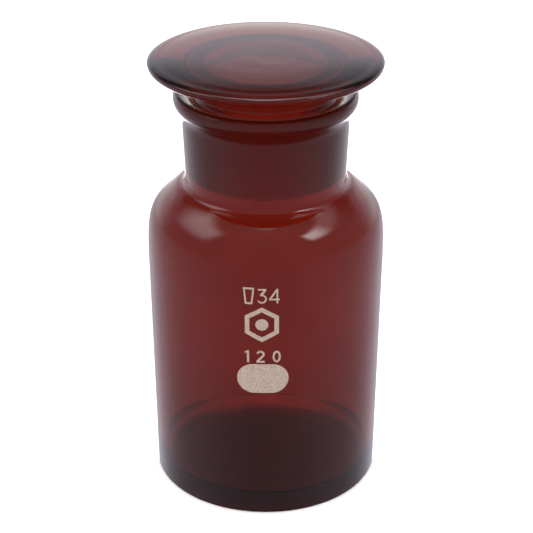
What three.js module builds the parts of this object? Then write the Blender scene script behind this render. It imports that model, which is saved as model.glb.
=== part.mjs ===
// Amber reagent bottle with a ground-glass disc stopper and fired enamel marks.
// Millimetres, +Z up. The origin is the centre of the standing ring, on the bottle's axis.
// The marks face -Y.

import * as THREE from 'three';

// Turned shapes
const SIDES = 40;
const CURVE_STEPS = 5;

// Bottle, outside
const BASE_R = 27.7;
const BODY_R = 28.5;
const STAND_INNER_R = 23.4;
const STAND_OUTER_R = 27.1;
const PUNT_HEIGHT = 0.6;
const PUNT_BEND_R = 14.0;
const HEEL_HEIGHT = 0.8;
const SHOULDER_Z = 57.94;
const SHOULDER_BULGE_Z = 68.9;
const SHOULDER_TOP_R = 21.2;
const SHOULDER_TOP_Z = 75.3;
const NECK_R = 19.1;
const NECK_TOP_R = 19.74;
const NECK_TOP_Z = 92.2;
const LIP_R = 21.6;
const LIP_Z = 97.3;
const RIDGE_R = 20.3;
const RIDGE_Z = 98.85;

// Bottle, inside
const FLOOR_Z = 2.2;
const FLOOR_R = 18.0;
const INNER_HEEL_Z = 2.4;
const INNER_WALL_Z = 8.0;
const WALL = 2.0;
const INNER_NECK_Z = 75.2;
const INNER_SHOULDER_R = 18.6;
const INNER_SHOULDER_Z = 73.9;

// Ground joint: 34.5 mm at its large end, and a 1 in 10 taper on the diameter
const JOINT_R = 17.25;
const JOINT_TAPER = 0.05;
const JOINT_TOP_Z = 97.2;
const SOCKET_FOOT_Z = 79.0;
const JOINT_GAP = 0.06;

// Stopper
const PLUG_FOOT_Z = 78.2;
const PLUG_HEAD_Z = 97.3;
const WAIST_R = 16.3;
const WAIST_Z = 99.2;
const HOLLOW_FOOT_R = 14.4;
const HOLLOW_HEAD_R = 14.3;
const HOLLOW_TOP_Z = 101.8;
const DISC_R = 27.25;
const DISC_UNDER_Z = 102.3;
const DISC_RIM_FOOT_Z = 104.2;
const DISC_RIM_Z = 105.9;
const DISC_EDGE_Z = 106.6;
const DISC_TOP_Z = 107.7;

// Enamel marks, in their own upright strip on the front of the wall
const ENAMEL_GAP = 0.05;
const ENAMEL_THICKNESS = 0.06;
const MARKS_X = -0.8;
const THIN_STROKE = 0.38;
const BOLD_STROKE = 0.5;
const JOINT_ROW_Z = 59.8;
const JOINT_DIGIT = 3.7;
const EMBLEM_Z = 52.4;
const CAPACITY_ROW_Z = 44.0;
const CAPACITY_DIGIT = 3.2;
const SPOT_Z = 38.1;

const bottleGlass = new THREE.MeshStandardMaterial({ color: 0x6b2018, roughness: 0.05, metalness: 0 });
const stopperGlass = new THREE.MeshStandardMaterial({ color: 0x7d3a36, roughness: 0.12, metalness: 0 });
const enamel = new THREE.MeshStandardMaterial({ color: 0xbea89b, roughness: 0.7, metalness: 0 });

// A body of revolution about +Z, from an outline of (radius, height) that starts and ends on the axis
function turned(outline) {
  const geometry = new THREE.LatheGeometry(outline.getPoints(CURVE_STEPS), SIDES);
  return geometry.rotateX(Math.PI / 2);
}

// Radius of the ground joint at a height
function jointRadius(z) {
  return JOINT_R + JOINT_TAPER * (z - JOINT_TOP_Z);
}

// Outside radius of the bottle's wall, which widens a little from the heel to the shoulder
function wallRadius(z) {
  const rise = Math.min(1, (z - HEEL_HEIGHT) / (SHOULDER_Z - HEEL_HEIGHT));
  return BASE_R + (BODY_R - BASE_R) * rise;
}

function bottle() {
  const outline = new THREE.Path();
  outline.moveTo(0, PUNT_HEIGHT);
  outline.quadraticCurveTo(PUNT_BEND_R, PUNT_HEIGHT, STAND_INNER_R, 0);
  outline.lineTo(STAND_OUTER_R, 0);
  outline.quadraticCurveTo(BASE_R, 0, BASE_R, HEEL_HEIGHT);
  outline.lineTo(BODY_R, SHOULDER_Z);

  // Shoulder, then a small hollow at the foot of the neck
  outline.bezierCurveTo(
    BODY_R, SHOULDER_BULGE_Z,
    BODY_R - 0.6, SHOULDER_BULGE_Z + 2,
    SHOULDER_TOP_R, SHOULDER_TOP_Z);
  outline.bezierCurveTo(
    SHOULDER_TOP_R - 0.9, SHOULDER_TOP_Z + 0.4,
    NECK_R, SHOULDER_TOP_Z + 0.5,
    NECK_R, SHOULDER_TOP_Z + 2.3);
  outline.lineTo(NECK_TOP_R, NECK_TOP_Z);

  // Rolled lip, its ridge, and the slope down into the socket
  outline.quadraticCurveTo(NECK_TOP_R + 0.15, NECK_TOP_Z + 1.8, LIP_R - 0.75, NECK_TOP_Z + 3);
  outline.quadraticCurveTo(LIP_R, NECK_TOP_Z + 3.9, LIP_R, LIP_Z);
  outline.quadraticCurveTo(LIP_R, RIDGE_Z, RIDGE_R, RIDGE_Z);
  outline.bezierCurveTo(RIDGE_R - 1.1, RIDGE_Z, JOINT_R + 0.4, JOINT_TOP_Z + 0.7, JOINT_R, JOINT_TOP_Z);
  outline.lineTo(jointRadius(SOCKET_FOOT_Z), SOCKET_FOOT_Z);

  // Inside of the shoulder, wall and floor
  outline.quadraticCurveTo(
    jointRadius(SOCKET_FOOT_Z), INNER_NECK_Z,
    INNER_SHOULDER_R, INNER_SHOULDER_Z);
  outline.bezierCurveTo(
    BODY_R - 3.9, INNER_SHOULDER_Z - 2.3,
    BODY_R - WALL, SHOULDER_BULGE_Z - 0.3,
    BODY_R - WALL, SHOULDER_Z);
  outline.lineTo(BASE_R - WALL, INNER_WALL_Z);
  outline.quadraticCurveTo(BASE_R - WALL, INNER_HEEL_Z, FLOOR_R, FLOOR_Z);
  outline.lineTo(0, FLOOR_Z);
  return turned(outline);
}

function stopper() {
  const plugFootR = jointRadius(PLUG_FOOT_Z) - JOINT_GAP;
  const plugHeadR = jointRadius(PLUG_HEAD_Z) - JOINT_GAP;
  const outline = new THREE.Path();

  // Hollow of the plug, open at its foot
  outline.moveTo(0, HOLLOW_TOP_Z);
  outline.lineTo(HOLLOW_HEAD_R - 0.9, HOLLOW_TOP_Z - 0.45);
  outline.quadraticCurveTo(HOLLOW_HEAD_R, HOLLOW_TOP_Z - 0.5, HOLLOW_HEAD_R, HOLLOW_TOP_Z - 1.4);
  outline.lineTo(HOLLOW_FOOT_R, PLUG_FOOT_Z + 1.2);
  outline.quadraticCurveTo(HOLLOW_FOOT_R, PLUG_FOOT_Z, HOLLOW_FOOT_R + 0.6, PLUG_FOOT_Z);
  outline.lineTo(plugFootR - 0.6, PLUG_FOOT_Z);
  outline.quadraticCurveTo(plugFootR, PLUG_FOOT_Z, plugFootR + 0.8 * JOINT_TAPER, PLUG_FOOT_Z + 0.8);
  outline.lineTo(plugHeadR, PLUG_HEAD_Z);

  // Waist above the ground zone
  outline.bezierCurveTo(plugHeadR, PLUG_HEAD_Z + 0.8, WAIST_R, WAIST_Z - 0.6, WAIST_R, WAIST_Z);
  outline.bezierCurveTo(
    WAIST_R, WAIST_Z + 1.6,
    WAIST_R + 0.9, DISC_UNDER_Z,
    WAIST_R + 3.2, DISC_UNDER_Z + 0.3);

  // Disc: sloping underside, rounded rim, low crown
  outline.lineTo(DISC_R - 1.9, DISC_RIM_FOOT_Z);
  outline.quadraticCurveTo(DISC_R, DISC_RIM_FOOT_Z + 0.3, DISC_R, DISC_RIM_Z);
  outline.quadraticCurveTo(DISC_R, DISC_EDGE_Z, DISC_R - 2.6, DISC_EDGE_Z + 0.1);
  outline.bezierCurveTo(0.75 * DISC_R, DISC_EDGE_Z + 0.75, 0.45 * DISC_R, DISC_TOP_Z, 0, DISC_TOP_Z);
  return turned(outline);
}

// Lay a flat mark (x along the wall, y up, z out of it) on the wall, its middle at x, z
function onWall(flat, x, z) {
  const position = flat.getAttribute('position');
  for (let i = 0; i < position.count; i += 1) {
    const height = z + position.getY(i);
    const wall = wallRadius(height);
    const angle = (MARKS_X + x + position.getX(i)) / wall;
    const radius = wall + ENAMEL_GAP + position.getZ(i);
    position.setXYZ(i, radius * Math.sin(angle), -radius * Math.cos(angle), height);
  }
  return flat;
}

// A flat plate between two rows of points; the far row is on the left of the near one
function plate(near, far, closed) {
  const count = near.length;
  const positions = [];
  for (const depth of [0, ENAMEL_THICKNESS]) {
    for (const row of [near, far]) {
      row.forEach(([x, y]) => positions.push(x, y, depth));
    }
  }
  const index = [];
  const quad = (a, b, c, d) => index.push(a, b, c, a, c, d);
  const [backNear, backFar, frontNear, frontFar] = [0, count, 2 * count, 3 * count];
  const spans = closed ? count : count - 1;
  for (let i = 0; i < spans; i += 1) {
    const j = (i + 1) % count;
    quad(frontNear + i, frontNear + j, frontFar + j, frontFar + i);
    quad(backNear + j, backNear + i, backFar + i, backFar + j);
    quad(backNear + i, backNear + j, frontNear + j, frontNear + i);
    quad(backFar + j, backFar + i, frontFar + i, frontFar + j);
  }
  if (!closed) {
    const last = count - 1;
    quad(backNear, frontNear, frontFar, backFar);
    quad(backNear + last, backFar + last, frontFar + last, frontNear + last);
  }
  const geometry = new THREE.BufferGeometry();
  geometry.setAttribute('position', new THREE.Float32BufferAttribute(positions, 3));
  geometry.setIndex(index);
  return geometry;
}

// An upright shape of the enamel's thickness, its middle at the origin
function glyph(shape, width, height) {
  const solid = new THREE.ExtrudeGeometry(shape, {
    depth: ENAMEL_THICKNESS, bevelEnabled: false, curveSegments: CURVE_STEPS,
  });
  return solid.translate(-width / 2, -height / 2, 0);
}

// Corners of a polygon as a closed row, each side split into equal steps
function splitSides(corners, steps) {
  return corners.flatMap(([x, y], side) => {
    const [nextX, nextY] = corners[(side + 1) % corners.length];
    return Array.from({ length: steps }, (_, i) => [
      x + (nextX - x) * i / steps,
      y + (nextY - y) * i / steps,
    ]);
  });
}

// Oval spot for pencil notes
function markingSpot() {
  const halfHeight = 3.87;
  const halfFlat = 2.13;
  const columns = 22;
  const near = [];
  const far = [];
  for (let i = 0; i <= columns; i += 1) {
    const turn = Math.PI * (0.02 + 0.96 * i / columns);
    const x = -(halfFlat + halfHeight) * Math.cos(turn);
    const beyond = Math.max(0, Math.abs(x) - halfFlat);
    const y = Math.sqrt(halfHeight ** 2 - beyond ** 2);
    near.push([x, -y]);
    far.push([x, y]);
  }
  return plate(near, far, false);
}

// Plain hexagon ring
function hexagonRing() {
  const outerR = 4.5;
  const innerR = 3.3;
  const corners = (radius) => Array.from({ length: 6 }, (_, i) => {
    const turn = Math.PI * (1 / 6 + i / 3);
    return [radius * Math.cos(turn), radius * Math.sin(turn)];
  });
  return plate(splitSides(corners(outerR), 3), splitSides(corners(innerR), 3), true);
}

// Round dot in the middle of the hexagon
function hexagonDot() {
  const radius = 1.5;
  const columns = 8;
  const near = [];
  const far = [];
  for (let i = 0; i <= columns; i += 1) {
    const turn = Math.PI * (0.05 + 0.9 * i / columns);
    near.push([-radius * Math.cos(turn), -radius * Math.sin(turn)]);
    far.push([-radius * Math.cos(turn), radius * Math.sin(turn)]);
  }
  return plate(near, far, false);
}

// Outline of a tapered plug, the sign for a ground joint
function taperSign() {
  const ring = (top, foot, height) => splitSides(
    [[-foot, -height], [foot, -height], [top, height], [-top, height]], 2);
  return plate(ring(1.3, 0.85, 2.1), ring(0.86, 0.51, 1.66), true);
}

function digitOne(height, stroke) {
  const width = 2 * stroke;
  const shape = new THREE.Shape();
  shape.moveTo(stroke, 0);
  shape.lineTo(width, 0);
  shape.lineTo(width, height);
  shape.lineTo(1.25 * stroke, height);
  shape.lineTo(0, 0.87 * height);
  shape.lineTo(0, 0.73 * height);
  shape.lineTo(stroke, 0.84 * height);
  return glyph(shape, width, height);
}

function digitTwo(height, stroke) {
  const radius = 0.3 * height;
  const width = 2 * radius;
  const [middleX, middleY] = [radius, height - radius];
  const [start, end] = [Math.PI * 0.94, -Math.PI * 0.2];
  const shape = new THREE.Shape();
  shape.moveTo(0, 0);
  shape.lineTo(width, 0);
  shape.lineTo(width, stroke);
  shape.lineTo(1.5 * stroke, stroke);
  shape.lineTo(middleX + radius * Math.cos(end), middleY + radius * Math.sin(end));
  shape.absarc(middleX, middleY, radius, end, start, false);
  shape.absarc(middleX, middleY, radius - stroke, start, end, true);
  shape.lineTo(0, stroke);
  return glyph(shape, width, height);
}

function digitThree(height, stroke) {
  const radius = 0.31 * height;
  const width = 2 * radius;
  const [start, end] = [-Math.PI * 0.86, Math.PI * 0.42];
  const arcEnd = (r) => [radius + r * Math.cos(end), radius + r * Math.sin(end)];
  const shape = new THREE.Shape();
  shape.moveTo(radius + radius * Math.cos(start), radius + radius * Math.sin(start));
  shape.absarc(radius, radius, radius, start, end, false);
  shape.lineTo(width - 0.3 * stroke, height - stroke);
  shape.lineTo(width - 0.3 * stroke, height);
  shape.lineTo(0.12 * width, height);
  shape.lineTo(0.12 * width, height - stroke);
  shape.lineTo(width - 1.7 * stroke, height - stroke);
  shape.lineTo(arcEnd(radius)[0] - 1.7 * stroke, arcEnd(radius)[1] + 0.25 * stroke);
  shape.lineTo(arcEnd(radius)[0] - 1.7 * stroke, arcEnd(radius)[1] - stroke);
  shape.absarc(radius, radius, radius - stroke, end, start, true);
  return glyph(shape, width, height);
}

function digitFour(height, stroke) {
  const width = 0.64 * height;
  const barY = 0.22 * height;
  const stemX = 0.7 * width;
  const shape = new THREE.Shape();
  shape.moveTo(stemX, 0);
  shape.lineTo(stemX + stroke, 0);
  shape.lineTo(stemX + stroke, barY);
  shape.lineTo(width, barY);
  shape.lineTo(width, barY + stroke);
  shape.lineTo(stemX + stroke, barY + stroke);
  shape.lineTo(stemX + stroke, height);
  shape.lineTo(stemX - 0.1 * stroke, height);
  shape.lineTo(0, barY + 0.9 * stroke);
  shape.lineTo(0, barY);
  shape.lineTo(stemX, barY);
  const counter = new THREE.Path();
  counter.moveTo(stemX, barY + stroke);
  counter.lineTo(stemX, height - 1.9 * stroke);
  counter.lineTo(1.25 * stroke, barY + stroke);
  shape.holes.push(counter);
  return glyph(shape, width, height);
}

function digitZero(height, stroke) {
  const radiusX = 0.31 * height;
  const shape = new THREE.Shape();
  shape.absellipse(radiusX, height / 2, radiusX, height / 2, 0, 2 * Math.PI, false);
  const counter = new THREE.Path();
  counter.absellipse(radiusX, height / 2, radiusX - stroke, height / 2 - stroke, 0, 2 * Math.PI, true);
  shape.holes.push(counter);
  return glyph(shape, 2 * radiusX, height);
}

const group = new THREE.Group();

function add(name, geometry, material) {
  const mesh = new THREE.Mesh(geometry, material);
  mesh.name = name;
  group.add(mesh);
}

add('bottle', bottle(), bottleGlass);
add('stopper', stopper(), stopperGlass);

add('joint_sign', onWall(taperSign(), -3.1, JOINT_ROW_Z), enamel);
add('joint_digit_3', onWall(digitThree(JOINT_DIGIT, THIN_STROKE), -0.1, JOINT_ROW_Z), enamel);
add('joint_digit_4', onWall(digitFour(JOINT_DIGIT, THIN_STROKE), 2.75, JOINT_ROW_Z), enamel);

add('emblem_hexagon', onWall(hexagonRing(), -0.1, EMBLEM_Z), enamel);
add('emblem_dot', onWall(hexagonDot(), -0.1, EMBLEM_Z), enamel);

add('capacity_digit_1', onWall(digitOne(CAPACITY_DIGIT, BOLD_STROKE), -3.55, CAPACITY_ROW_Z), enamel);
add('capacity_digit_2', onWall(digitTwo(CAPACITY_DIGIT, BOLD_STROKE), -0.4, CAPACITY_ROW_Z), enamel);
add('capacity_digit_0', onWall(digitZero(CAPACITY_DIGIT, BOLD_STROKE), 3.3, CAPACITY_ROW_Z), enamel);

add('marking_spot', onWall(markingSpot(), 0.1, SPOT_Z), enamel);

export default group;
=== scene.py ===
"""Looks of an amber reagent bottle with a ground-glass disc stopper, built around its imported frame."""
import math

import bpy
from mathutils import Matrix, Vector, noise


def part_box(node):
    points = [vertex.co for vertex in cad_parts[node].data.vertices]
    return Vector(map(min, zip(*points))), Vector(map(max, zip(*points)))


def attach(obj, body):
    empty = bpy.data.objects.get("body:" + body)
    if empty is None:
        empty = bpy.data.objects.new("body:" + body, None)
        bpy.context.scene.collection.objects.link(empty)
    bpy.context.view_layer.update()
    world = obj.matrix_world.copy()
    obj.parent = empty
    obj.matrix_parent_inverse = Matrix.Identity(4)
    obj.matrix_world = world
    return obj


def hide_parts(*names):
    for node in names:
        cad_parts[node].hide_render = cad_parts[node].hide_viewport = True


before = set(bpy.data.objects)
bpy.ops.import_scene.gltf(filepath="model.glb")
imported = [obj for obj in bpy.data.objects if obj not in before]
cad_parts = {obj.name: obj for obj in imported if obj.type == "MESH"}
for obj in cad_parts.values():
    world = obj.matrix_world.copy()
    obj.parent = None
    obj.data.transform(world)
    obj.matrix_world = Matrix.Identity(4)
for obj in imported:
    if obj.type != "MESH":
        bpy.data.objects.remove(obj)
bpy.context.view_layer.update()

# Turned shapes
MM = 0.001
FRONT_SEGMENTS = 192
LINE_STEP = 1.2
CURVE_STEPS = 14
ON_AXIS = 1e-6

# Material zones of an outline
STAINED, CLEAR, GROUND, BASE = range(4)

# Overall sizes from the frame, in millimetres
BOTTLE_HIGH = tuple(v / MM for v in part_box("bottle")[1])
STOPPER_LOW, STOPPER_HIGH = (tuple(v / MM for v in corner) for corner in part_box("stopper"))
BODY_R = BOTTLE_HIGH[0]
RIDGE_Z = BOTTLE_HIGH[2]
DISC_R = STOPPER_HIGH[0]
DISC_TOP_Z = STOPPER_HIGH[2]
PLUG_FOOT_Z = STOPPER_LOW[2]

# Outside of the bottle, in millimetres
BASE_R = BODY_R - 0.8
HEEL_HEIGHT = 0.8
STAND_INNER_R = 23.4
STAND_OUTER_R = 27.1
PUNT_HEIGHT = 0.6
PUNT_BEND_R = 14.0
SHOULDER_Z = 57.94
SHOULDER_BULGE_Z = 68.9
SHOULDER_TOP_R = 21.2
SHOULDER_TOP_Z = 75.3
NECK_R = 19.1
NECK_TOP_R = 19.74
NECK_TOP_Z = 92.2
LIP_R = 21.6
LIP_Z = 97.3
RIDGE_R = 20.3

# Inside of the bottle, in millimetres
FLOOR_Z = 2.2
FLOOR_R = 18.0
INNER_HEEL_Z = 2.4
INNER_WALL_Z = 8.0
WALL = 2.0
INNER_NECK_Z = 75.2
INNER_SHOULDER_R = 18.6
INNER_SHOULDER_Z = 73.9

# Ground joint, in millimetres; the taper is on the radius
JOINT_R = 17.25
JOINT_TAPER = 0.05
JOINT_TOP_Z = 97.2
JOINT_GAP = 0.06
SOCKET_FOOT_Z = 79.0
GROUND_HEAD_Z = 97.3

# Stopper, in millimetres
WAIST_R = 16.3
WAIST_Z = 99.2
HOLLOW_FOOT_R = 14.4
HOLLOW_HEAD_R = 14.3
HOLLOW_TOP_Z = DISC_TOP_Z - 5.9
HOLLOW_STEP = 0.3
HOLLOW_STEP_START_R = 10.2
HOLLOW_STEP_END_R = 11.8
DISC_UNDER_Z = 102.3
DISC_RIM_FOOT_Z = 104.2
DISC_RIM_Z = 105.9
DISC_EDGE_Z = 106.6

# Unevenness of the blown glass and ripples of the pressed crown, in millimetres; scales are per millimetre
BLOWN_INSIDE = 0.10
BLOWN_OUTSIDE = 0.012
BLOWN_SCALE = 0.055
BLOWN_SPOT = Vector((7.3, 1.9, 4.1))
BLOWN_FROM_Z = 1
RIPPLE_HEIGHT = 0.018
RIPPLE_SINK = 0.02
RIPPLE_REACH_R = 13
RIPPLE_MIDDLE_R = 7.5
RIPPLE_WIDTH_R = 4.5
RIPPLE_RATE = 2.1
RIPPLE_WANDER = 2.6
RIPPLE_WANDER_SCALE = 0.16
RIPPLE_SPOT = 3.7

# The middle range of a noise, where a ramp runs from one end to the other
NOISE_RANGE = (0.3, 0.7)

# Glass: a tint is the light that one face lets through, and the KEEPS numbers say how much of it each further
# bounce keeps: painted shade that darkens light bouncing inside the glass
GLASS_IOR = 1.5
AMBER_TINT = ((0.115, 0.0056, 0.0019), (0.144, 0.0080, 0.0031))
CLEAR_TINT = ((0.96, 0.94, 0.92), (0.99, 0.98, 0.97))
GROUND_TINT = ((0.86, 0.84, 0.82), (0.95, 0.94, 0.92))
TINT_SCALE = 45
# Painted shade: each bounce inside the glass darkens the tint, most of all on the underside
BODY_PAINTED_SHADE_KEEPS = 0.8
STOPPER_PAINTED_SHADE_KEEPS = 0.6
UNDERSIDE_PAINTED_SHADE_KEEPS = 0.1
STAIN_ROUGHNESS = 0.015
CLEAR_ROUGHNESS = 0.01
UNDERSIDE_ROUGHNESS = 0.3
GROUND_ROUGHNESS = (0.55, 0.68)
GROUND_GRAIN = 90

# Enamel
ENAMEL_COLOUR = ((0.30, 0.216, 0.173), (0.485, 0.385, 0.322))
ENAMEL_ROUGHNESS = (0.5, 0.75)
ENAMEL_GRAIN = 2600
ENAMEL_BUMP = 0.4
ENAMEL_BUMP_METRES = 0.00003

# Camera: metres, millimetres of lens, degrees below the horizon
CAMERA_PLACE = (0, -0.3529, 0.2301)
CAMERA_LENS = 109.62
CAMERA_SENSOR = 36
CAMERA_DOWN = 26.65
CAMERA_SHIFT = 0.0013

# Brightness of the light tent, as (direction, brightness) stops. Up runs from -1, straight down, to 1,
# overhead; heading runs from -1, in front of the bottle, to 1, behind it.
STOPS_TOP = 4.0
LOW_BY_HEADING = ((-1, 0.34), (-0.7, 0.43), (-0.5, 0.48), (0, 0.53), (0.26, 0.61), (0.42, 0.7), (0.6, 0.84),
                  (0.82, 1.0), (0.92, 0.85), (1, 0.55))
FRONT_BY_UP = ((-1, 0.35), (0.95, 0.38), (0.985, 0.5), (1, 0.6))
REAR_BY_UP = ((-1, 1.1), (0, 1.5), (0.16, 1.4), (0.22, 1.15), (0.29, 1.05), (0.35, 0.9), (0.40, 0.6),
              (0.46, 0.47), (0.5, 0.3), (0.55, 0.1), (0.8, 0.1), (1, 0.9))
THROUGH_BY_UP = ((-1, 1.1), (0.15, 1.1), (0.3, 1.0), (0.5, 0.8), (0.7, 0.6), (1, 0.5))

# Soft edges of the tent, as (direction at one side, at the other, value at one side, at the other)
REAR_EDGE = (0.3, 0.8, 0, 1)
HORIZON_EDGE = (-0.12, 0.05, 0, 1)
STRAIGHT_DOWN_EDGE = (-0.8, -0.6, 0.12, 1)
COOL_FROM_EDGE = (0.14, 0.32, 0, 1)
COOL_TO_EDGE = (0.55, 0.75, 1, 0)
COOL = (1.0, 0.97, 1.09, 1)
NEUTRAL = (1, 1, 1, 1)

# Softboxes above the front, a wide dim one on the left and a small bright one on the right, as soft edges
LEFT_BOX = (("up", 0.42, 0.76, 0, 1), ("up", 0.80, 0.90, 1, 0), ("heading", -0.5, -0.2, 0, 1),
            ("heading", 0.3, 0.8, 1, 0), ("across", -0.1, -0.3, 0, 2.2))
RIGHT_BOX = (("up", 0.66, 0.80, 0, 1), ("up", 0.84, 0.89, 1, 0), ("heading", -0.62, -0.46, 0, 1),
             ("heading", -0.35, 0.2, 6.0, 0.8), ("across", 0.1, 0.3, 0, 1))

# Light that falls on matte faces, from below the horizon to above it
AMBIENT_EDGE = (-0.02, 0.02, 0.6, 1.9)

# Floor of the scene, in metres, and the painted light it shows only through the glass: a painted shadow, dark
# under the bottle, that rises with distance from the axis into a painted glow
FLOOR_REACH = 3.0
FLOOR_DROP = 0.00004
FLOOR_WHITE = (0.93, 0.93, 0.93, 1)
# Painted shadow dark under the bottle, then a painted glow further out; the floor is no lamp
PAINTED_SHADOW_EDGE = (0.0266, 0.0284, 0.07, 0.9)
PAINTED_GLOW_EDGE = (0.030, 0.060, 0, 0.15)


class Outline:
    """A profile of (radius, height) in millimetres, in zones that each take one material."""

    def __init__(self, radius, height, zone):
        self.points = [(radius, height)]
        self.zones = []
        self.zone = zone

    def reach(self, radius, height):
        self.points.append((radius, height))
        self.zones.append(self.zone)

    def line(self, radius, height):
        r0, z0 = self.points[-1]
        steps = max(1, round(math.hypot(radius - r0, height - z0) / LINE_STEP))
        for i in range(1, steps + 1):
            self.reach(r0 + (radius - r0) * i / steps, z0 + (height - z0) * i / steps)

    def curve(self, *controls):
        """A Bezier curve from the last point through two or three more control points."""
        start = self.points[-1]
        for i in range(1, CURVE_STEPS + 1):
            t = i / CURVE_STEPS
            level = [start, *controls]
            while len(level) > 1:
                level = [
                    (a[0] + (b[0] - a[0]) * t, a[1] + (b[1] - a[1]) * t)
                    for a, b in zip(level, level[1:])
                ]
            self.reach(*level[0])


def turned_points(outline, offset):
    """Vertices of a body of revolution, and for each outline point its ring of vertex numbers."""
    vertices, rings = [], []
    for index, (r, z) in enumerate(outline.points):
        if r < ON_AXIS:
            rings.append([len(vertices)] * FRONT_SEGMENTS)
            vertices.append((0, 0, z * MM))
            continue
        zone = outline.zones[min(index, len(outline.zones) - 1)]
        rings.append(range(len(vertices), len(vertices) + FRONT_SEGMENTS))
        for i in range(FRONT_SEGMENTS):
            angle = 2 * math.pi * i / FRONT_SEGMENTS
            dr, dz = offset(zone, angle, r, z)
            x, y = (r + dr) * math.sin(angle), -(r + dr) * math.cos(angle)
            vertices.append((x * MM, y * MM, (z + dz) * MM))
    return vertices, rings


def turned(name, outline, materials, offset):
    """A closed body of revolution from an outline that starts and ends on the axis.

    offset(zone, angle, r, z) gives each point's shift in radius and height.
    """
    vertices, rings = turned_points(outline, offset)
    faces, slots = [], []
    for index, (low, high) in enumerate(zip(rings, rings[1:])):
        for i in range(FRONT_SEGMENTS):
            j = (i + 1) % FRONT_SEGMENTS
            corners = [low[i], low[j], high[j], high[i]]
            faces.append([c for k, c in enumerate(corners) if c != corners[k - 1]])
            slots.append(outline.zones[index])
    mesh = bpy.data.meshes.new(name)
    mesh.from_pydata(vertices, [], faces)
    for material in materials:
        mesh.materials.append(material)
    mesh.polygons.foreach_set("material_index", slots)
    mesh.polygons.foreach_set("use_smooth", [True] * len(faces))
    piece = bpy.data.objects.new(name, mesh)
    bpy.context.scene.collection.objects.link(piece)
    return piece


def joint_radius(z):
    return JOINT_R + JOINT_TAPER * (z - JOINT_TOP_Z)


def bottle_outline():
    """Underside, wall, shoulder, neck and lip, then down the ground socket and the inside."""
    o = Outline(0, PUNT_HEIGHT, BASE)
    o.curve((PUNT_BEND_R, PUNT_HEIGHT), (STAND_INNER_R, 0))
    o.line(STAND_OUTER_R, 0)
    o.zone = STAINED
    o.curve((BASE_R, 0), (BASE_R, HEEL_HEIGHT))
    o.line(BODY_R, SHOULDER_Z)
    bulge = BODY_R - 0.6, SHOULDER_BULGE_Z + 2
    o.curve((BODY_R, SHOULDER_BULGE_Z), bulge, (SHOULDER_TOP_R, SHOULDER_TOP_Z))
    into_neck = SHOULDER_TOP_R - 0.9, SHOULDER_TOP_Z + 0.4
    o.curve(into_neck, (NECK_R, SHOULDER_TOP_Z + 0.5), (NECK_R, SHOULDER_TOP_Z + 2.3))
    o.line(NECK_TOP_R, NECK_TOP_Z)
    o.curve((NECK_TOP_R + 0.15, NECK_TOP_Z + 1.8), (LIP_R - 0.75, NECK_TOP_Z + 3))
    o.curve((LIP_R, NECK_TOP_Z + 3.9), (LIP_R, LIP_Z))
    o.curve((LIP_R, RIDGE_Z), (RIDGE_R, RIDGE_Z))
    o.zone = CLEAR
    o.curve((RIDGE_R - 1.1, RIDGE_Z), (JOINT_R + 0.4, JOINT_TOP_Z + 0.7), (JOINT_R, JOINT_TOP_Z))
    o.zone = GROUND
    o.line(joint_radius(SOCKET_FOOT_Z), SOCKET_FOOT_Z)
    o.zone = CLEAR
    o.curve((joint_radius(SOCKET_FOOT_Z), INNER_NECK_Z), (INNER_SHOULDER_R, INNER_SHOULDER_Z))
    inner_r = BODY_R - WALL
    inner_bulge = BODY_R - 3.9, INNER_SHOULDER_Z - 2.3
    o.curve(inner_bulge, (inner_r, SHOULDER_BULGE_Z - 0.3), (inner_r, SHOULDER_Z))
    o.line(BASE_R - WALL, INNER_WALL_Z)
    o.curve((BASE_R - WALL, INNER_HEEL_Z), (FLOOR_R, FLOOR_Z))
    o.line(0, FLOOR_Z)
    return o


def plug_hollow(o):
    """Roof of the hollow with its shallow step, and the way down to the plug's foot."""
    step_z = HOLLOW_TOP_Z - HOLLOW_STEP
    o.line(HOLLOW_STEP_START_R, HOLLOW_TOP_Z)
    o.curve((HOLLOW_STEP_START_R + 0.6, HOLLOW_TOP_Z), (HOLLOW_STEP_END_R - 0.6, step_z),
            (HOLLOW_STEP_END_R, step_z))
    o.line(HOLLOW_HEAD_R - 0.9, HOLLOW_TOP_Z - 0.45)
    o.curve((HOLLOW_HEAD_R, HOLLOW_TOP_Z - 0.5), (HOLLOW_HEAD_R, HOLLOW_TOP_Z - 1.4))
    o.line(HOLLOW_FOOT_R, PLUG_FOOT_Z + 1.2)
    o.curve((HOLLOW_FOOT_R, PLUG_FOOT_Z), (HOLLOW_FOOT_R + 0.6, PLUG_FOOT_Z))


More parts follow.
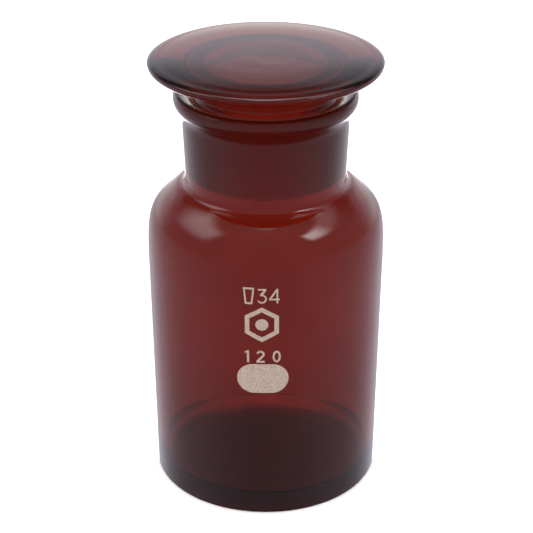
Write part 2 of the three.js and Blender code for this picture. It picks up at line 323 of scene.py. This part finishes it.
def stopper_outline():
    """Hollow of the plug, its foot and ground side, then the waist and the disc."""
    foot_r = joint_radius(PLUG_FOOT_Z) - JOINT_GAP
    o = Outline(0, HOLLOW_TOP_Z, CLEAR)
    plug_hollow(o)
    o.line(foot_r - 0.6, PLUG_FOOT_Z)
    o.curve((foot_r, PLUG_FOOT_Z), (foot_r + 0.8 * JOINT_TAPER, PLUG_FOOT_Z + 0.8))
    o.zone = GROUND
    o.line(joint_radius(GROUND_HEAD_Z) - JOINT_GAP, GROUND_HEAD_Z)
    o.zone = STAINED
    above_ground = joint_radius(GROUND_HEAD_Z), GROUND_HEAD_Z + 0.8
    o.curve(above_ground, (WAIST_R, WAIST_Z - 0.6), (WAIST_R, WAIST_Z))
    under_disc = WAIST_R + 3.2, DISC_UNDER_Z + 0.3
    o.curve((WAIST_R, WAIST_Z + 1.6), (WAIST_R + 0.9, DISC_UNDER_Z), under_disc)
    o.line(DISC_R - 1.9, DISC_RIM_FOOT_Z)
    o.curve((DISC_R, DISC_RIM_FOOT_Z + 0.3), (DISC_R, DISC_RIM_Z))
    o.curve((DISC_R, DISC_EDGE_Z - 0.05), (DISC_R - 2.6, DISC_EDGE_Z + 0.1))
    o.curve((0.75 * DISC_R, DISC_EDGE_Z + 0.75), (0.45 * DISC_R, DISC_TOP_Z), (0, DISC_TOP_Z))
    return o


def blown(zone, angle, r, z):
    """Unevenness of blown glass: the inner face wanders more than the moulded outer one."""
    if zone == GROUND or z < BLOWN_FROM_Z:
        return 0, 0
    size = BLOWN_INSIDE if zone == CLEAR and z < JOINT_TOP_Z else BLOWN_OUTSIDE
    spot = Vector((r * math.sin(angle), r * math.cos(angle), z)) * BLOWN_SCALE
    return size * noise.noise(spot + BLOWN_SPOT), 0


def pressed(zone, angle, r, z):
    """Chill ripples that a press leaves round the middle of the stopper's crown."""
    if z < DISC_EDGE_Z or r > RIPPLE_REACH_R:
        return 0, 0
    x, y = r * math.sin(angle), r * math.cos(angle)
    wander = noise.noise(Vector((x * RIPPLE_WANDER_SCALE, y * RIPPLE_WANDER_SCALE, RIPPLE_SPOT)))
    fade = math.exp(-((r - RIPPLE_MIDDLE_R) / RIPPLE_WIDTH_R) ** 2)
    ring = math.sin(RIPPLE_RATE * r + RIPPLE_WANDER * wander) * fade
    return 0, RIPPLE_HEIGHT * ring - RIPPLE_SINK


class Graph:
    """The nodes of one shader tree, with a short call for each kind that the looks need."""

    def __init__(self, tree):
        self.nodes = tree.nodes
        self.links = tree.links

    def new(self, kind):
        return self.nodes.new(kind)

    def maths(self, operation, *values):
        node = self.new("ShaderNodeMath")
        node.operation = operation
        for i, value in enumerate(values):
            if isinstance(value, (int, float)):
                node.inputs[i].default_value = value
            else:
                self.links.new(value, node.inputs[i])
        return node.outputs[0]

    def product(self, first, *others):
        for other in others:
            first = self.maths("MULTIPLY", first, other)
        return first

    def total(self, first, *others):
        for other in others:
            first = self.maths("ADD", first, other)
        return first

    def unless(self, value):
        return self.maths("SUBTRACT", 1, value)

    def noise(self, scale, detail):
        """Noise laid out in the object's own metres."""
        place = self.new("ShaderNodeTexCoord")
        texture = self.new("ShaderNodeTexNoise")
        texture.inputs["Scale"].default_value = scale
        texture.inputs["Detail"].default_value = detail
        self.links.new(place.outputs["Object"], texture.inputs["Vector"])
        return texture.outputs["Fac"]

    def ramp(self, factor, low, high):
        """A colour that runs from low to high as the noise goes through its middle range."""
        node = self.new("ShaderNodeValToRGB")
        for element, position, colour in zip(node.color_ramp.elements, NOISE_RANGE, (low, high)):
            element.position = position
            element.color = (*colour, 1)
        self.links.new(factor, node.inputs["Fac"])
        return node.outputs["Color"]

    def span(self, value, start, end, low, high, kind="LINEAR"):
        """A number that runs from low to high as value runs from start to end."""
        node = self.new("ShaderNodeMapRange")
        node.interpolation_type = kind
        for name, number in (("From Min", start), ("From Max", end), ("To Min", low), ("To Max", high)):
            node.inputs[name].default_value = number
        self.links.new(value, node.inputs["Value"])
        return node.outputs["Result"]

    def band(self, value, start, end, low, high):
        return self.span(value, start, end, low, high, "SMOOTHSTEP")

    def stops(self, value, points):
        """Brightness along straight lines through (value, brightness) points; values run from -1 to 1."""
        shifted = self.maths("MULTIPLY_ADD", value, 0.5, 0.5)
        node = self.new("ShaderNodeFloatCurve")
        curve = node.mapping.curves[0]
        for spot, brightness in points:
            curve.points.new((spot + 1) / 2, brightness / STOPS_TOP)
        curve.points.remove(curve.points[0])
        curve.points.remove(curve.points[len(curve.points) - 1])
        for point in curve.points:
            point.handle_type = "VECTOR"
        node.mapping.update()
        self.links.new(shifted, node.inputs["Value"])
        return self.maths("MULTIPLY", node.outputs["Value"], STOPS_TOP)


def principled(name):
    material = bpy.data.materials.new(name)
    material.use_nodes = True
    graph = Graph(material.node_tree)
    return material, graph, graph.nodes["Principled BSDF"]


def glass(name, tints, painted_shade_keeps=1):
    """Glass whose tint varies a little over the surface, with painted shade that deepens the tint with each
    bounce of the light.
    """
    material, graph, shader = principled(name)
    shader.inputs["Transmission Weight"].default_value = 1
    shader.inputs["IOR"].default_value = GLASS_IOR
    tint = graph.ramp(graph.noise(TINT_SCALE, 2), *tints)
    # Painted shade: the tint darkens with each glossy bounce along the light path
    if painted_shade_keeps < 1:
        path = graph.new("ShaderNodeLightPath")
        scale = graph.new("ShaderNodeVectorMath")
        scale.operation = "SCALE"
        graph.links.new(tint, scale.inputs[0])
        graph.links.new(graph.maths("POWER", painted_shade_keeps, path.outputs["Glossy Depth"]), scale.inputs["Scale"])
        tint = scale.outputs["Vector"]
    graph.links.new(tint, shader.inputs["Base Color"])
    return material, graph, shader


def polished_glass(name, tints, roughness, painted_shade_keeps=1):
    material, _, shader = glass(name, tints, painted_shade_keeps)
    shader.inputs["Roughness"].default_value = roughness
    return material


def ground_glass():
    """The frosted faces of the joint, with a grain in their roughness."""
    material, graph, shader = glass("ground_glass", GROUND_TINT)
    grain = graph.span(graph.noise(GROUND_GRAIN, 4), *NOISE_RANGE, *GROUND_ROUGHNESS)
    graph.links.new(grain, shader.inputs["Roughness"])
    return material


def enamel():
    """Fired enamel: matte and finely speckled."""
    material, graph, shader = principled("fired_enamel")
    grain = graph.noise(ENAMEL_GRAIN, 3)
    graph.links.new(graph.ramp(grain, *ENAMEL_COLOUR), shader.inputs["Base Color"])
    graph.links.new(graph.span(grain, *NOISE_RANGE, *ENAMEL_ROUGHNESS), shader.inputs["Roughness"])
    bump = graph.new("ShaderNodeBump")
    bump.inputs["Strength"].default_value = ENAMEL_BUMP
    bump.inputs["Distance"].default_value = ENAMEL_BUMP_METRES
    graph.links.new(grain, bump.inputs["Height"])
    graph.links.new(bump.outputs["Normal"], shader.inputs["Normal"])
    return material


def camera():
    data = bpy.data.cameras.new("camera")
    data.lens = CAMERA_LENS
    data.sensor_width = CAMERA_SENSOR
    data.shift_x = CAMERA_SHIFT
    eye = bpy.data.objects.new("camera", data)
    eye.location = CAMERA_PLACE
    eye.rotation_euler = (math.radians(90 - CAMERA_DOWN), 0, 0)
    bpy.context.scene.collection.objects.link(eye)
    bpy.context.scene.camera = eye


def softbox(graph, directions, edges):
    return graph.product(*(graph.band(directions[name], *edge) for name, *edge in edges))


def mirrored(graph, directions, raised):
    """What polished faces mirror: a bright rear, a dim front, a low rim and the two softboxes."""
    heading, up = directions["heading"], directions["up"]
    behind = graph.band(heading, *REAR_EDGE)
    rear = graph.product(behind, graph.stops(up, REAR_BY_UP))
    front = graph.product(graph.unless(behind), graph.stops(up, FRONT_BY_UP))
    low = graph.product(graph.stops(heading, LOW_BY_HEADING), graph.band(up, *STRAIGHT_DOWN_EDGE))
    tent = graph.total(
        graph.product(raised, graph.total(rear, front)),
        graph.product(graph.unless(raised), low))
    return graph.total(tent, softbox(graph, directions, LEFT_BOX), softbox(graph, directions, RIGHT_BOX))


def studio():
    """Soft light tent: one brightness for mirrored light, one for refracted, one for matte faces."""
    world = bpy.data.worlds.new("studio")
    bpy.context.scene.world = world
    world.cycles.sampling_method = "NONE"
    world.use_nodes = True
    graph = Graph(world.node_tree)
    graph.nodes.clear()
    place = graph.new("ShaderNodeTexCoord")
    split = graph.new("ShaderNodeSeparateXYZ")
    graph.links.new(place.outputs["Generated"], split.inputs[0])
    across, away, up = split.outputs
    level = graph.maths("SQRT", graph.unless(graph.product(up, up)))
    heading = graph.maths("DIVIDE", away, graph.maths("MAXIMUM", level, 0.001))
    directions = {"across": across, "heading": heading, "up": up}
    raised = graph.band(up, *HORIZON_EDGE)

    path = graph.new("ShaderNodeLightPath")
    refracted = path.outputs["Is Transmission Ray"]
    reflected = graph.product(path.outputs["Is Glossy Ray"], graph.unless(refracted))
    neither = graph.unless(graph.maths("MAXIMUM", refracted, reflected))
    seen = path.outputs["Is Camera Ray"]
    ambient = graph.band(up, *AMBIENT_EDGE)
    backdrop = graph.total(seen, graph.product(graph.unless(seen), ambient))
    strength = graph.total(
        graph.product(reflected, mirrored(graph, directions, raised)),
        graph.product(refracted, graph.stops(up, THROUGH_BY_UP)),
        graph.product(neither, backdrop))

    hue = graph.new("ShaderNodeMix")
    hue.data_type = "RGBA"
    hue.inputs["A"].default_value = NEUTRAL
    hue.inputs["B"].default_value = COOL
    middle = graph.product(graph.band(up, *COOL_FROM_EDGE), graph.band(up, *COOL_TO_EDGE))
    cooled = graph.product(reflected, graph.total(middle, graph.unless(raised)))
    graph.links.new(cooled, hue.inputs["Factor"])

    background = graph.new("ShaderNodeBackground")
    graph.links.new(strength, background.inputs["Strength"])
    graph.links.new(hue.outputs["Result"], background.inputs["Color"])
    output = graph.new("ShaderNodeOutputWorld")
    graph.links.new(background.outputs[0], output.inputs[0])


def floor_material():
    """Matte white, lit by the studio; through the glass it shows painted light instead: a painted shadow dark
    under the bottle and a painted glow beyond.
    """
    material, graph, _ = principled("floor")
    matte = graph.new("ShaderNodeBsdfDiffuse")
    matte.inputs["Color"].default_value = FLOOR_WHITE
    place = graph.new("ShaderNodeTexCoord")
    distance = graph.new("ShaderNodeVectorMath")
    distance.operation = "LENGTH"
    graph.links.new(place.outputs["Object"], distance.inputs[0])
    # Painted shadow under the bottle and painted glow beyond, only for rays that came through the glass
    painted_shadow = graph.band(distance.outputs["Value"], *PAINTED_SHADOW_EDGE)
    painted_far_glow = graph.band(distance.outputs["Value"], *PAINTED_GLOW_EDGE)
    painted_glow_emission = graph.new("ShaderNodeEmission")
    graph.links.new(graph.total(painted_shadow, painted_far_glow), painted_glow_emission.inputs["Strength"])
    path = graph.new("ShaderNodeLightPath")
    mix = graph.new("ShaderNodeMixShader")
    graph.links.new(path.outputs["Is Transmission Ray"], mix.inputs["Fac"])
    graph.links.new(matte.outputs[0], mix.inputs[1])
    graph.links.new(painted_glow_emission.outputs[0], mix.inputs[2])
    graph.links.new(mix.outputs[0], graph.nodes["Material Output"].inputs["Surface"])
    return material


def table_top():
    """Plain pale floor, left out of the reflections so that the studio decides what the glass mirrors."""
    mesh = bpy.data.meshes.new("floor")
    quarters = ((-1, -1), (1, -1), (1, 1), (-1, 1))
    corners = [(FLOOR_REACH * x, FLOOR_REACH * y, -FLOOR_DROP) for x, y in quarters]
    mesh.from_pydata(corners, [], [(0, 1, 2, 3)])
    mesh.materials.append(floor_material())
    floor = bpy.data.objects.new("floor", mesh)
    floor.visible_glossy = False
    floor.visible_diffuse = False
    bpy.context.scene.collection.objects.link(floor)


camera()
studio()
table_top()

# Amber stain plus painted shade that darkens it with each bounce inside; the underside is darkest
body_stain_and_shade = polished_glass("amber_bottle_stain_and_painted_shade", AMBER_TINT, STAIN_ROUGHNESS, BODY_PAINTED_SHADE_KEEPS)
stopper_stain_and_shade = polished_glass("amber_stopper_stain_and_painted_shade", AMBER_TINT, STAIN_ROUGHNESS, STOPPER_PAINTED_SHADE_KEEPS)
underside = polished_glass("amber_underside", AMBER_TINT, UNDERSIDE_ROUGHNESS, UNDERSIDE_PAINTED_SHADE_KEEPS)
clear = polished_glass("clear_glass", CLEAR_TINT, CLEAR_ROUGHNESS)
ground = ground_glass()

bottle = turned("blown_bottle", bottle_outline(), [body_stain_and_shade, clear, ground, underside], blown)
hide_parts("bottle")
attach(bottle, "bottle")

stopper = turned("pressed_stopper", stopper_outline(), [stopper_stain_and_shade, clear, ground], pressed)
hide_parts("stopper")
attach(stopper, "stopper")

marks = enamel()
for node_name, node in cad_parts.items():
    if node_name not in ("bottle", "stopper"):
        node.data.materials[0] = marks

bpy.context.scene.view_settings.view_transform = "Standard"
